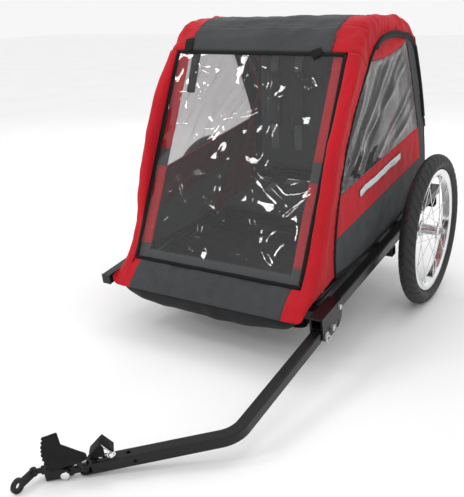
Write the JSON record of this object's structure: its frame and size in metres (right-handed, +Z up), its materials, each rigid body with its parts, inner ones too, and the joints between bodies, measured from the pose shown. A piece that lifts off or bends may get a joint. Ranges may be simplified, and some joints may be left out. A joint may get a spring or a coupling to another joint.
{
  "type": "child bicycle trailer",
  "caption": "Folding child trailer with a fabric cabin, clear windows, side rails and a cranked tow bar with a swivelling axle hitch.",
  "frame": {"origin": "middle of the footprint on the floor, with the trailer standing on its wheels and its coupler", "axes": "+X to the trailer's left-hand side, the side of the tow bar; -Y forwards; +Z up"},
  "size_m": [0.776, 1.4124, 0.753],
  "materials": {
    "frame_paint": "satin black powder coat",
    "cap_plastic": "moulded black",
    "zinc": "zinc-plated",
    "chrome": "polished",
    "tyre_rubber": "treaded",
    "tube_rubber": "smooth",
    "red_fabric": "woven polyester",
    "charcoal_fabric": "woven polyester",
    "black_fabric": "coated nylon",
    "webbing": "ribbed webbing",
    "grey_webbing": "ribbed webbing",
    "clear_vinyl": "clear flexible vinyl",
    "reflective": "retroreflective",
    "binding": "bound edge",
    "steel": "plain"
  },
  "bodies": {
    "chassis": {"side_rail_left": "frame_paint", "side_rail_right": "frame_paint", "rail_end_caps": "cap_plastic", "axle_crossbar": "frame_paint", "floor_crossbars": "frame_paint", "cabin_base_ring": "frame_paint", "axle_brackets": "frame_paint", "stub_axles": "zinc", "axle_nuts": "zinc", "tow_bracket": "frame_paint", "tow_bracket_bolts": "zinc", "hoop_hinge_lugs": "frame_paint", "hoop_hinge_pins": "zinc", "side_panel_left": "red_fabric", "side_panel_right": "red_fabric", "side_window_left": "clear_vinyl", "side_window_right": "clear_vinyl", "reflective_strips": "reflective", "roof_panel": "charcoal_fabric", "front_apron": "charcoal_fabric", "floor_panel": "black_fabric", "seat_base": "charcoal_fabric", "seat_back": "charcoal_fabric", "harness_straps": "grey_webbing", "shoulder_pads": "charcoal_fabric", "harness_buckles": "cap_plastic"},
    "front_frame": {"front_hoop": "frame_paint", "door_pillar_left": "red_fabric", "door_pillar_right": "red_fabric", "front_header": "charcoal_fabric"},
    "front_cover": {"front_window": "clear_vinyl", "front_window_binding": "binding"},
    "rear_frame": {"rear_hoop": "frame_paint", "rear_panel": "black_fabric"},
    "wheel_left": {"tyre_left": "tyre_rubber", "inner_tube_left": "tube_rubber", "rim_left": "chrome", "hub_left": "chrome", "hub_bearings_left": "steel", "spokes_left": "chrome"},
    "wheel_right": {"tyre_right": "tyre_rubber", "inner_tube_right": "tube_rubber", "rim_right": "chrome", "hub_right": "chrome", "hub_bearings_right": "steel", "spokes_right": "chrome"},
    "tow_arm": {"tow_bar": "frame_paint", "hitch_insert": "frame_paint", "hitch_yaw_bolt": "zinc", "safety_strap_tail": "webbing"},
    "lock_pin": {"tow_lock_pin": "zinc"},
    "hitch_pin": {"hitch_pin": "chrome", "hitch_pin_clip": "zinc"},
    "swivel": {"hitch_swivel": "frame_paint", "hitch_tension_bolt": "zinc"},
    "yoke": {"hitch_yoke": "frame_paint", "hitch_pitch_bolt": "chrome", "safety_strap": "webbing"},
    "eye": {"hitch_eye": "frame_paint"}
  },
  "joints": [
    {"name": "wheel_left_spin", "type": "hinge", "parent": "chassis", "child": "wheel_left", "pos_m": [0.35, 0.46896, 0.2], "axis": [1, 0, 0], "continuous": true},
    {"name": "wheel_right_spin", "type": "hinge", "parent": "chassis", "child": "wheel_right", "pos_m": [-0.35, 0.46896, 0.2], "axis": [1, 0, 0], "continuous": true},
    {"name": "cabin_fold", "type": "hinge", "parent": "chassis", "child": "front_frame", "pos_m": [0, -0.00268, 0.17617], "axis": [1, 0, 0], "range_deg": [-52, 0], "deforming": ["front_window", "front_window_binding", "side_panel_left", "side_panel_right", "side_window_left", "side_window_right", "reflective_strips", "roof_panel", "seat_back", "harness_straps", "shoulder_pads"]},
    {"name": "rear_frame_fold", "type": "hinge", "parent": "chassis", "child": "rear_frame", "pos_m": [0, 0.67581, 0.27736], "axis": [1, 0, 0], "range_deg": [0, 73]},
    {"name": "front_cover_lift", "type": "hinge", "parent": "front_frame", "child": "front_cover", "pos_m": [0, 0.17075, 0.6742], "axis": [1, 0, 0], "range_deg": [-110, 0]},
    {"name": "tow_bar_fold", "type": "hinge", "parent": "chassis", "child": "tow_arm", "pos_m": [0.2895, -0.04919, 0.11514], "axis": [1, 0, 0], "range_deg": [0, 165]},
    {"name": "tow_lock_pin_pull", "type": "slide", "parent": "tow_arm", "child": "lock_pin", "axis": [1, 0, 0], "range_m": [0, 0.045]},
    {"name": "hitch_pin_pull", "type": "slide", "parent": "tow_arm", "child": "hitch_pin", "axis": [0, -0.1751, 0.9846], "range_m": [0, 0.045], "deforming": ["safety_strap_tail"]},
    {"name": "hitch_yaw", "type": "hinge", "parent": "tow_arm", "child": "swivel", "pos_m": [0.08343, -0.59562, 0.01797], "axis": [0, -0.1751, 0.9846], "range_deg": [-55, 55]},
    {"name": "hitch_pitch", "type": "hinge", "parent": "swivel", "child": "yoke", "pos_m": [0.05606, -0.61864, 0.01388], "axis": [0.6494, -0.7487, -0.1331], "range_deg": [-18, 18]},
    {"name": "hitch_roll", "type": "hinge", "parent": "yoke", "child": "eye", "pos_m": [0.01575, -0.65445, 0.01868], "axis": [-0.7604, -0.6394, -0.1137], "range_deg": [-60, 60]}
  ],
  "couplings": [
    {"joint": "rear_frame_fold", "follows": "cabin_fold", "ratio": -1.4038}
  ]
}
